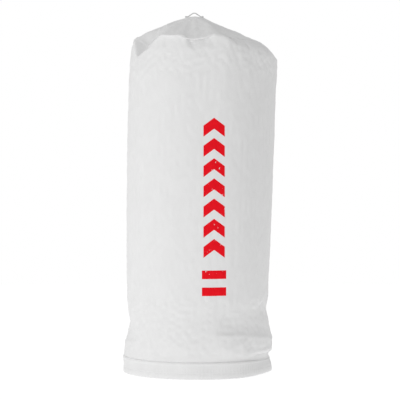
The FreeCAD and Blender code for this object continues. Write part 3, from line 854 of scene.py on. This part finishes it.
class Bundle:
    """Collects the vertices and faces of many small bodies for one piece."""

    def __init__(self):
        self.vertices, self.faces = [], []

    def add(self, vertices, faces):
        start = len(self.vertices)
        self.vertices += list(vertices)
        self.faces += [[start + v for v in face] for face in faces]

    def piece(self, name, material):
        return make_mesh(name, self.vertices, self.faces, material)


def stitch_row(bundle, line, normals, closed=True, pitch=STITCH_PITCH):
    """Sewn stitches along a line on the felt, each a short thread that dips in at both ends."""
    if closed:
        line, normals = np.vstack([line, line[:1]]), np.vstack([normals, normals[:1]])
    run = np.concatenate([[0], np.cumsum(np.linalg.norm(np.diff(line, axis=0), axis=1))])
    count = int(round(run[-1] / pitch))
    bow = np.array([-0.9, 0.15, 0.55, 0.65, 0.55, 0.15, -0.9]) * THREAD / 2
    taper = np.array([0.45, 0.85, 1.0, 1.0, 1.0, 0.85, 0.45])
    for number in range(count):
        start = (number + (1 - STITCH_SHARE) / 2) * run[-1] / count
        places = start + np.linspace(0, STITCH_SHARE * run[-1] / count, len(bow))
        thread = np.stack([np.interp(places, run, line[:, i]) for i in range(3)], -1)
        lift = np.stack([np.interp(places, run, normals[:, i]) for i in range(3)], -1)
        bundle.add(*tube(thread + lift * bow[:, None], THREAD / 2, taper=taper))


def normals_along(line, across):
    """Outward normals of a surface along a line on it, from a second line just above the first."""
    forward = np.roll(line, -1, axis=0) - np.roll(line, 1, axis=0)
    normal = np.cross(forward, across - line)
    return normal / np.linalg.norm(normal, axis=1)[:, None]


def finish_piece(piece, body, slot, *nodes):
    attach(piece, body)
    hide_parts(*nodes)


def finish_thread(bundle, name, node):
    """A piece of the bag's sewing thread."""
    finish_piece(bundle.piece(name, THREAD_LOOK), BAG, "sewing_thread", node)


# ---------------------------------------------------------------- wall
WALL_COLUMNS = 288
FRONT_DENSITY = 0.25  # the front's columns stand this much closer than the average
LAP_WIDTH = 16 * MM
LAP_ROW_OFFSET = 4.5 * MM
LAP_ANGLE = 180
# the seam's allowances, inside: mm below the seam, mm in from the wall's outside
WALL_ALLOWANCE = [(0.1, 1.5), (3, 2.6), (6.5, 2.6), (10, 2.6)]
PANEL_ALLOWANCE = [(0.0, 1.8), (2.6, 2.9), (6.5, 2.9), (10, 2.9)]


def wall_column_angles():
    """Angles of the wall's columns, closest together at the front."""
    even = np.arange(WALL_COLUMNS) * 360 / WALL_COLUMNS
    return even - np.degrees(FRONT_DENSITY * np.sin(np.radians(even)))


def wall_row_shares():
    """Shares up the wall of its rows, closest together at the cuff and under the top seam."""
    bands = [(0, 0.013, 9), (0.013, 0.2, 42), (0.2, 0.88, 70), (0.88, 0.985, 25), (0.985, 1, 11)]
    shares = [np.linspace(low, high, count, endpoint=False) for low, high, count in bands]
    return np.concatenate([*shares, [1.0]])


def turned_in(degrees, rows):
    """Rows of felt inside the wall under the top seam: (below the seam, in from the wall)."""
    below, inset = np.array(rows).T * MM
    shares = 1 - below[:, None] / WALL_LENGTH
    across = wall_surface(degrees + 0.4, shares) - wall_surface(degrees - 0.4, shares)
    upward = wall_surface(degrees, shares) - wall_surface(degrees, shares - 0.0015)
    normal = np.cross(across, upward)
    normal /= np.linalg.norm(normal, axis=-1)[..., None]
    return wall_surface(degrees, shares) - normal * inset[:, None, None]


def lap_strip(bundle):
    """The wall's other edge, lapped over its first down the back."""
    shares = wall_row_shares()[:-3]
    offsets = np.linspace(-LAP_WIDTH / 2, LAP_WIDTH / 2, 5)
    degrees = LAP_ANGLE + offsets / ARC
    points = wall_surface(degrees, shares[:, None])
    points = points + outward(degrees) * (FELT + 0.05 * MM)
    bundle.add(points.reshape(-1, 3), grid_faces(len(shares), len(offsets), closed=False))


def make_wall():
    """The wall with its turned-in top; returns its outside, for what is laid on it."""
    degrees = wall_column_angles()
    shares = wall_row_shares()
    points = wall_surface(degrees, shares[:, None])
    rows = [*points, *turned_in(degrees, WALL_ALLOWANCE)]
    bundle = Bundle()
    bundle.add(np.concatenate(rows), grid_faces(len(rows), WALL_COLUMNS))
    outside = BVHTree.FromPolygons(
        [tuple(p) for p in points.reshape(-1, 3)], grid_faces(len(shares), WALL_COLUMNS)
    )
    lap_strip(bundle)
    wall = bundle.piece("wall_felt", FELT_LOOK)
    thicken(wall, FELT)
    finish_piece(wall, BAG, "filter_felt", "wall_panel")
    return outside


def make_side_seam():
    """Two rows of stitches down the lap."""
    bundle = Bundle()
    shares = np.linspace(0.008, 0.988, 420)
    for offset in (-LAP_ROW_OFFSET, LAP_ROW_OFFSET):
        degrees = np.array([LAP_ANGLE + offset / ARC])
        line = wall_surface(degrees, shares[:, None])[:, 0]
        out = np.repeat(outward(degrees), len(line), axis=0)
        stitch_row(bundle, line + out * (FELT + 0.05 * MM), out, closed=False)
    finish_thread(bundle, "side_seam_thread", "side_seam_stitches")


def make_top_seam_thread():
    """A row of stitches just under the top seam, through the wall and both allowances."""
    degrees = np.arange(900) * 0.4
    line = wall_surface(degrees, np.full((1, 900), 1 - 5.5 * MM / WALL_LENGTH))[0]
    above = wall_surface(degrees, np.full((1, 900), 1 - 4.0 * MM / WALL_LENGTH))[0]
    bundle = Bundle()
    stitch_row(bundle, line, normals_along(line, above))
    finish_thread(bundle, "top_seam_thread", "top_seam_stitches")


def make_overlock():
    """Overlock thread round the raw edges of the top seam's allowances, inside the bag."""
    pitch = 3.6 * MM
    count = int(round(WALL_WIDTH * 0.93 / pitch))
    step = 360 / count
    # share of the stitch, below the seam, in from the wall
    route = [(0.0, 5.0, 4.6), (0.25, 9.9, 4.6), (0.4, 10.6, 3.2), (0.6, 10.6, 1.7), (0.75, 9.7, 4.6)]
    places = [turned_in((np.arange(count) + share) * step, [row])[0] for share, *row in route]
    thread = list(np.stack(places, axis=1).reshape(-1, 3))
    thread.append(thread[0])
    bundle = Bundle()
    bundle.add(*tube(thread, 0.3 * MM, 5))
    finish_thread(bundle, "overlock_thread", "top_seam_overlock")


# ---------------------------------------------------------------- top panel
PANEL_FINE_RINGS = 60
SEAM_GAP = 0.25 * MM  # between the panel's rim and the wall's along the top seam


def make_top_panel():
    """The round top felt: its rim lies close to the wall's and is turned in beside it."""
    degrees, shares = disc_places(PANEL_FINE_RINGS)
    points = panel_surface(degrees, shares)
    columns = 8 * PANEL_FINE_RINGS
    rim = len(points) - columns  # the first point of the outermost ring
    around = degrees[rim:]
    inner = slice(rim - columns + 8, rim)  # the ring inside it
    near = [np.interp(around, degrees[inner], points[inner, axis], period=360) for axis in range(3)]
    toward = np.stack(near, -1) - points[rim:]
    toward /= np.linalg.norm(toward, axis=-1)[:, None]
    points[rim:] += toward * SEAM_GAP
    rows = turned_in(around, PANEL_ALLOWANCE)
    faces = disc_faces(PANEL_FINE_RINGS)
    faces += [face[::-1] for face in grid_faces(len(rows) + 1, columns, rim)]
    panel = make_mesh("top_felt", np.vstack([points, *rows]), faces, FELT_LOOK)
    thicken(panel, FELT)
    finish_piece(panel, BAG, "filter_felt", "top_panel")


def make_patch():
    """A second disc of felt under the loop; the ring of stitches that holds it is made by
    make_patch_thread.
    """
    low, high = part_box("reinforcing_patch")
    radius = (high.x - low.x) / 2
    rings = 14
    degrees, shares = disc_places(rings)
    turn = np.radians(degrees)
    reach = radius * shares * (1 + 0.006 * np.sin(9 * turn) * shares**4)
    points = np.stack([APEX.x + reach * np.sin(turn), -reach * np.cos(turn), turn * 0], -1)
    points[:, 2] = panel_height(points) - FELT - 0.1 * MM
    patch = make_mesh("patch_felt", points, disc_faces(rings), PATCH_LOOK)
    thicken(patch, FELT)
    finish_piece(patch, BAG, "filter_felt", "reinforcing_patch")


def panel_height(points):
    """Height of the top panel's outside at places near its centre."""
    offset = points[:, :2] - np.array(APEX)[:2]
    degrees = np.degrees(np.arctan2(offset[:, 0], -offset[:, 1]))
    reach = np.linalg.norm(seam_point(degrees)[:, :2] - np.array(APEX)[:2], axis=1)
    return panel_surface(degrees, np.linalg.norm(offset, axis=1) / reach)[:, 2]


def make_patch_thread():
    low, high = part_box("patch_stitches")
    radius = (high.x - low.x) / 2 - THREAD / 2
    turn = np.arange(240) * 2 * math.pi / 240
    line = np.stack([APEX.x + radius * np.sin(turn), -radius * np.cos(turn), turn * 0], -1)
    line[:, 2] = panel_height(line)
    bundle = Bundle()
    stitch_row(bundle, line, np.broadcast_to((0.0, 0.0, 1.0), line.shape), pitch=3.8 * MM)
    finish_thread(bundle, "patch_thread", "patch_stitches")


# ---------------------------------------------------------------- elastic cuff
CUFF_COLUMNS = 960
GATHERS = 151
ELASTIC_RADIUS = 0.2525
# the cuff's folded felt, from its inner upper edge round the hem: radius, height, how deep the
# gathers are, in metres
CUFF_SECTION = [
    (0.2506, 0.048, 0.0), (0.2505, 0.04, 0.0001), (0.2505, 0.031, 0.0002), (0.2505, 0.022, 0.0002),
    (0.2505, 0.014, 0.0002), (0.2506, 0.008, 0.0003), (0.2508, 0.0038, 0.0004),
    (0.2516, 0.0011, 0.0006), (0.2532, 0.0002, 0.0008), (0.2546, 0.0005, 0.0009),
    (0.2553, 0.002, 0.001), (0.2557, 0.0055, 0.001), (0.2557, 0.01, 0.0009),
    (0.2554, 0.0135, 0.0008), (0.2548, 0.0165, 0.0006), (0.2543, 0.0187, 0.0005),
    (0.2541, 0.0215, 0.0006), (0.2539, 0.025, 0.0008), (0.2538, 0.029, 0.0009),
    (0.2538, 0.033, 0.0009), (0.2539, 0.037, 0.0009), (0.2542, 0.041, 0.0008),
    (0.2546, 0.045, 0.0006), (0.2549, 0.048, 0.0004), (0.2549, 0.0505, 0.0003),
    (0.2546, 0.0525, 0.0002), (0.254, 0.0542, 0.0002),
]
# how far the hem is drawn up: angle, lift
HEM_LIFT = [
    (-180, 0.0005), (-120, 0.0), (-60, 0.0), (-20, 0.0), (20, 0.0), (42, 0.0016), (56, 0.005),
    (64, 0.0062), (78, 0.006), (94, 0.005), (118, 0.0015), (150, 0.0),
]


def gather_phase(degrees):
    """Gathers of uneven width, once round."""
    turn = np.radians(degrees)
    uneven = 1.6 * np.sin(5 * turn + 0.4) + 1.1 * np.sin(13 * turn + 2.0) + 0.8 * np.sin(31 * turn)
    return GATHERS * turn + uneven


def neck_at(degrees, height):
    """How far the cuff is drawn in at a height."""
    return ring_curve(CUFF_NECK, degrees) * smoothstep((height - 0.022) / 0.028)


def cuff_surface(degrees, rows):
    """The cuff's outside face at rows of CUFF_SECTION, as (row, column) points."""
    phase = gather_phase(degrees)
    turn = np.radians(degrees)
    uneven = 0.55 + 0.45 * np.sin(7 * turn + 1.0) * np.sin(17 * turn) + 0.2 * np.sin(43 * turn)
    lift = ring_curve(HEM_LIFT, degrees)
    tighter = 1 + 90 * lift
    points = []
    for radius, height, gather in rows:
        lean = 0.5 * math.sin(height * 260)
        wave = 0.5 + 0.5 * np.cos(phase + lean)
        crest = 0.8 * gather * uneven * (wave**1.5) * tighter
        share = 1 - height / CUFF_TOP
        serration = 0.35 * MM * np.sin(phase * 0.5 + 1.3) * (share > 0.9)
        droop = ring_curve(CUFF_DROOP, degrees) * smoothstep((height - 0.036) / 0.016)
        low = height - droop + lift * share + serration * share
        crest = crest - neck_at(degrees, height)
        points.append(outward(degrees) * (radius + crest)[:, None] + np.stack(
            [degrees * 0, degrees * 0, np.maximum(low, 0.2 * MM)], -1))
    return np.array(points)


def cuff_top_edge(degrees, below):
    """The cuff's upper edge, level with the wall just above it."""
    heights = CUFF_TOP - ring_curve(CUFF_DROOP, degrees) + 1.2 * MM
    shares = (heights - WALL_FOOT) / WALL_LENGTH
    wall = wall_surface(degrees, np.broadcast_to(shares, (1, len(degrees))))[0]
    return wall + outward(degrees) * 0.15 * MM - np.array((0, 0, 1.2 * MM + below))


def make_cuff():
    degrees = np.arange(CUFF_COLUMNS) * 360 / CUFF_COLUMNS
    edges = [cuff_top_edge(degrees, below * MM) for below in (0.5, 0.0)]
    rows = [*cuff_surface(degrees, CUFF_SECTION), *edges]
    faces = grid_faces(len(rows), CUFF_COLUMNS)
    cuff = make_mesh("cuff_felt", np.concatenate(rows), faces, CUFF_LOOK_PAINTED_SHADE)
    thicken(cuff, FELT)
    finish_piece(cuff, BAG, "filter_felt", "elastic_cuff")


def make_cuff_thread():
    """Two rows round the cuff and the short bar that closes it at the back."""
    degrees = np.arange(1440) * 0.25
    sewn = (
        ("cuff_upper_thread", "cuff_upper_stitches", (0.2549, 0.0505, 0.0003)),
        ("cuff_lower_thread", "cuff_lower_stitches", (0.2543, 0.0187, 0.0005)),
    )
    for name, node, row in sewn:
        line = cuff_surface(degrees, [row])[0]
        bundle = Bundle()
        stitch_row(bundle, line, outward(degrees))
        finish_thread(bundle, name, node)
    bundle = Bundle()
    for offset in (-LAP_ROW_OFFSET, LAP_ROW_OFFSET):
        angle = LAP_ANGLE + offset / ARC
        section = [row for row in CUFF_SECTION if row[0] > 0.253 and 0.020 < row[1] < 0.049]
        line = cuff_surface(np.array([angle]), section)[:, 0]
        out = np.repeat(outward(np.array([angle])), len(line), axis=0)
        stitch_row(bundle, line, out, closed=False, pitch=3.4 * MM)
    finish_thread(bundle, "cuff_closing_thread", "cuff_closing_stitches")


def make_elastic():
    """Ribbed webbing in the cuff's channel."""
    low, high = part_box("elastic_band")
    columns, rows = 480, 15
    degrees = np.arange(columns) * 360 / columns
    points = []
    for row in range(rows):
        height = low.z + (high.z - low.z) * row / (rows - 1)
        rib = 0.12 * MM if row % 2 else 0
        radius = ELASTIC_RADIUS - rib + 0.04 * MM * np.sin(gather_phase(degrees))
        radius = radius - neck_at(degrees, height)
        points.append(outward(degrees) * radius[:, None] + np.array((0, 0, height)))
    webbing = make_mesh("elastic_webbing", np.concatenate(points), grid_faces(rows, columns),
                        ELASTIC_LOOK)
    thicken(webbing, 0.5 * MM)
    finish_piece(webbing, BAG, "elastic_webbing", "elastic_band")


# ---------------------------------------------------------------- hanging loop
CORD_RADIUS = 2 * MM
LOOP_AXIS = 1.2191  # height of the cord's axis where it is sewn down
LOOP_HALF_LENGTH = 32 * MM
LOOP_FOOT_INNER = 25 * MM
LOOP_FOOT_BEND = 9 * MM
LOOP_TOP_BEND = 12 * MM
LOOP_FLANK = math.radians(34.3)
BRAID_PITCH = 13 * MM
STRANDS = 8
TACK_THREAD = 0.32 * MM
TACK_WRAPS = 8
TACK_PITCH = 0.6 * MM


def loop_spine(step=0.45 * MM):
    """The cord's axis from its left foot over the arch to its right foot, evenly spaced."""
    sine, cosine = math.sin(LOOP_FLANK), math.cos(LOOP_FLANK)
    flank = (LOOP_FOOT_INNER - (LOOP_FOOT_BEND + LOOP_TOP_BEND) * sine) / cosine
    half = [(-LOOP_HALF_LENGTH, 0.0)]
    for turn in np.linspace(0, LOOP_FLANK, 14):
        half.append((
            -LOOP_FOOT_INNER + LOOP_FOOT_BEND * math.sin(turn),
            LOOP_FOOT_BEND * (1 - math.cos(turn)),
        ))
    top_start = (half[-1][0] + flank * cosine, half[-1][1] + flank * sine)
    for turn in np.linspace(LOOP_FLANK, 0, 14):
        half.append((
            -LOOP_TOP_BEND * math.sin(turn),
            top_start[1] + LOOP_TOP_BEND * (math.cos(turn) - cosine),
        ))
    outline = np.array(half + [(-x, z) for x, z in half[-2::-1]])
    run = np.concatenate([[0], np.cumsum(np.linalg.norm(np.diff(outline, axis=0), axis=1))])
    places = np.linspace(0, run[-1], int(run[-1] / step))
    x, z = (np.interp(places, run, outline[:, i]) for i in range(2))
    return np.stack([APEX.x + x, 0 * x, LOOP_AXIS + z], -1), places


def make_loop():
    """A braid of eight strands over a core."""
    spine, run = loop_spine()
    along = np.gradient(spine, axis=0)
    along /= np.linalg.norm(along, axis=1)[:, None]
    level = np.broadcast_to((0.0, 1.0, 0.0), spine.shape)
    upright = np.cross(along, level)
    bundle = Bundle()
    bundle.add(*tube(spine, 1.25 * MM, 10))
    for strand in range(STRANDS):
        hand = 1 if strand % 2 else -1
        start = 2 * math.pi * (strand // 2) / (STRANDS / 2)
        turn = start + hand * 2 * math.pi * run / BRAID_PITCH
        over = np.cos(2 * turn + (0 if hand > 0 else math.pi))
        radius = CORD_RADIUS - 0.62 * MM + 0.16 * MM * over
        spoke = level * np.cos(turn)[:, None] + upright * np.sin(turn)[:, None]
        ends = smoothstep(np.minimum(run, run[-1] - run) / (1.2 * MM)) * 0.35 + 0.65
        bundle.add(*tube(spine + spoke * (radius * ends)[:, None], 0.46 * MM, 7, ends))
    finish_piece(bundle.piece("braided_loop", CORD_LOOK), LOOP, "loop_cord", "hanging_loop")


def make_bar_tacks():
    """Close thread over each foot of the loop, down through the felt on both sides."""
    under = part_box("loop_bar_tacks")[0].z - 0.2 * MM
    reach = CORD_RADIUS + TACK_THREAD + 0.08 * MM
    bundle = Bundle()
    for side in (-1, 1):
        centre = APEX.x + side * (LOOP_HALF_LENGTH + LOOP_FOOT_INNER + 1.6 * MM) / 2
        thread = []
        for wrap in range(TACK_WRAPS):
            x = centre + (wrap - (TACK_WRAPS - 1) / 2) * TACK_PITCH
            order = 1 if wrap % 2 else -1
            thread.append((x, -order * reach, under))
            for turn in np.radians(np.linspace(-90, 90, 15)):
                slant = TACK_PITCH / 2 * turn / math.pi
                up = LOOP_AXIS + reach * math.cos(turn)
                thread.append((x + slant, order * reach * math.sin(turn), up))
            thread.append((x + TACK_PITCH / 2, order * reach, under))
        bundle.add(*tube(np.array(thread), TACK_THREAD))
    finish_thread(bundle, "bar_tack_thread", "loop_bar_tacks")


# ---------------------------------------------------------------- printed mark
MARK_SHIFT = 0.055
MARK_WIDTH = 0.070
MARK_STROKE = 0.036
MARK_POINT_RISE = 0.026
MARK_PITCH = 0.0664
MARK_FIRST_HEIGHT = 0.402
ARROWHEADS = 7
BAR_WIDTH = 0.080
BAR_THICKNESS = 0.028
BAR_FIRST_HEIGHT = 0.276
BAR_PITCH = 0.056
INK = 0.3 * MM
INK_CELL = 3 * MM


def ink_patch(bundle, wall, corners):
    """A four-cornered patch of ink laid on the wall; corners are (x, z), anticlockwise."""
    low_left, low_right, high_right, high_left = (np.array(c) for c in corners)
    across = max(2, int(np.linalg.norm(low_right - low_left) / INK_CELL))
    upward = max(2, int(np.linalg.norm(high_left - low_left) / INK_CELL))
    points = []
    for row in range(upward + 1):
        for column in range(across + 1):
            u, v = column / across, row / upward
            low = low_left + (low_right - low_left) * u
            high = high_left + (high_right - high_left) * u
            x, z = low + (high - low) * v
            place, normal, _, _ = wall.ray_cast(Vector((x, -1.0, z)), Vector((0, 1, 0)))
            points.append(place - normal * INK if normal.y > 0 else place + normal * INK)
    bundle.add(points, grid_faces(upward + 1, across + 1, closed=False))


def make_printed_mark(wall):
    """Seven arrowheads over two bars, all pointing up to the loop."""
    half = MARK_WIDTH / 2
    bundle = Bundle()
    for number in range(ARROWHEADS):
        foot = MARK_FIRST_HEIGHT + number * MARK_PITCH
        for side in (-1, 1):
            outer, inner = MARK_SHIFT + side * half, MARK_SHIFT
            corners = [
                (outer, foot),
                (inner, foot + MARK_POINT_RISE),
                (inner, foot + MARK_POINT_RISE + MARK_STROKE),
                (outer, foot + MARK_STROKE),
            ]
            ink_patch(bundle, wall, corners if side < 0 else [corners[i] for i in (1, 0, 3, 2)])
    for number in range(2):
        foot = BAR_FIRST_HEIGHT + number * BAR_PITCH
        left, right = MARK_SHIFT - BAR_WIDTH / 2, MARK_SHIFT + BAR_WIDTH / 2
        top = foot + BAR_THICKNESS
        ink_patch(bundle, wall, [(left, foot), (right, foot), (right, top), (left, top)])
    mark = bundle.piece("ink_mark", INK_LOOK)
    thicken(mark, INK)
    finish_piece(mark, BAG, "print_ink", "printed_mark")


wall_outside = make_wall()
make_top_panel()
make_patch()
make_cuff()
make_elastic()
make_side_seam()
make_top_seam_thread()
make_overlock()
make_patch_thread()
make_cuff_thread()
make_loop()
make_bar_tacks()
make_printed_mark(wall_outside)


# ---------------------------------------------------------------- stage, light and camera
CAMERA_DISTANCE = 5.4
CAMERA_HEIGHT = 0.66
AIM = Vector((0.0086, 0.0, 0.589))
VIEW_WIDTH = 1.378  # how much the frame takes in at the bag's axis
SKY = 0.53
FLOOR_RADIUS = 4.5


def make_floor():
    material, shader, add, links = new_material(
        "pale_floor", 0.9, Emission_Color=(1, 1, 1, 1), Emission_Strength=0.88
    )
    tone = noise_value(add, in_object_space(add), 0.6, 2.0)
    links.new(ramp(add, tone, (0.3, 0.20), (0.7, 0.22)), shader.inputs["Base Color"])
    turns = np.arange(96) * 2 * math.pi / 96
    rim = np.stack([np.cos(turns), np.sin(turns), 0 * turns], -1) * FLOOR_RADIUS
    floor = make_mesh("floor", rim, [list(range(96))], material)
    floor.location.z = -0.5 * MM


def make_world():
    """An even pale room, seen as white."""
    world = bpy.data.worlds.new("studio")
    world.use_nodes = True
    nodes, links = world.node_tree.nodes, world.node_tree.links
    nodes.clear()
    output = nodes.new("ShaderNodeOutputWorld")
    mix = nodes.new("ShaderNodeMixShader")
    path = nodes.new("ShaderNodeLightPath")
    links.new(path.outputs["Is Camera Ray"], mix.inputs["Fac"])
    for strength, socket in ((SKY, 1), (1.0, 2)):
        background = nodes.new("ShaderNodeBackground")
        background.inputs["Color"].default_value = (1, 1, 1, 1)
        background.inputs["Strength"].default_value = strength
        links.new(background.outputs["Background"], mix.inputs[socket])
    links.new(mix.outputs["Shader"], output.inputs["Surface"])
    bpy.context.scene.world = world


def make_light(name, azimuth, elevation, distance, size, power):
    """A soft disc of light that looks at the middle of the bag from an angle round it."""
    data = bpy.data.lights.new(name, "AREA")
    data.shape = "DISK"
    data.size = size
    data.energy = power
    turn, rise = math.radians(azimuth), math.radians(elevation)
    middle = Vector((0, 0, 0.6))
    away = Vector((math.sin(turn) * math.cos(rise), -math.cos(turn) * math.cos(rise), math.sin(rise)))
    light = bpy.data.objects.new(name, data)
    light.location = middle + away * distance
    light.rotation_euler = (-away).to_track_quat("-Z", "Y").to_euler()
    bpy.context.scene.collection.objects.link(light)


def make_camera():
    data = bpy.data.cameras.new("camera")
    data.sensor_width = 36
    data.lens = 36 * CAMERA_DISTANCE / VIEW_WIDTH
    camera = bpy.data.objects.new("camera", data)
    camera.location = (AIM.x, -CAMERA_DISTANCE, CAMERA_HEIGHT)
    camera.rotation_euler = (AIM - camera.location).to_track_quat("-Z", "Y").to_euler()
    bpy.context.scene.collection.objects.link(camera)
    bpy.context.scene.camera = camera


make_floor()
make_world()
make_light("key", -42, 15, 4.5, 1.6, 36)
make_light("left_fill", -100, 20, 4.5, 2.0, 12)
make_light("back_fill", 150, 60, 4.5, 2.0, 20)
make_camera()
bpy.context.scene.view_settings.view_transform = "Standard"
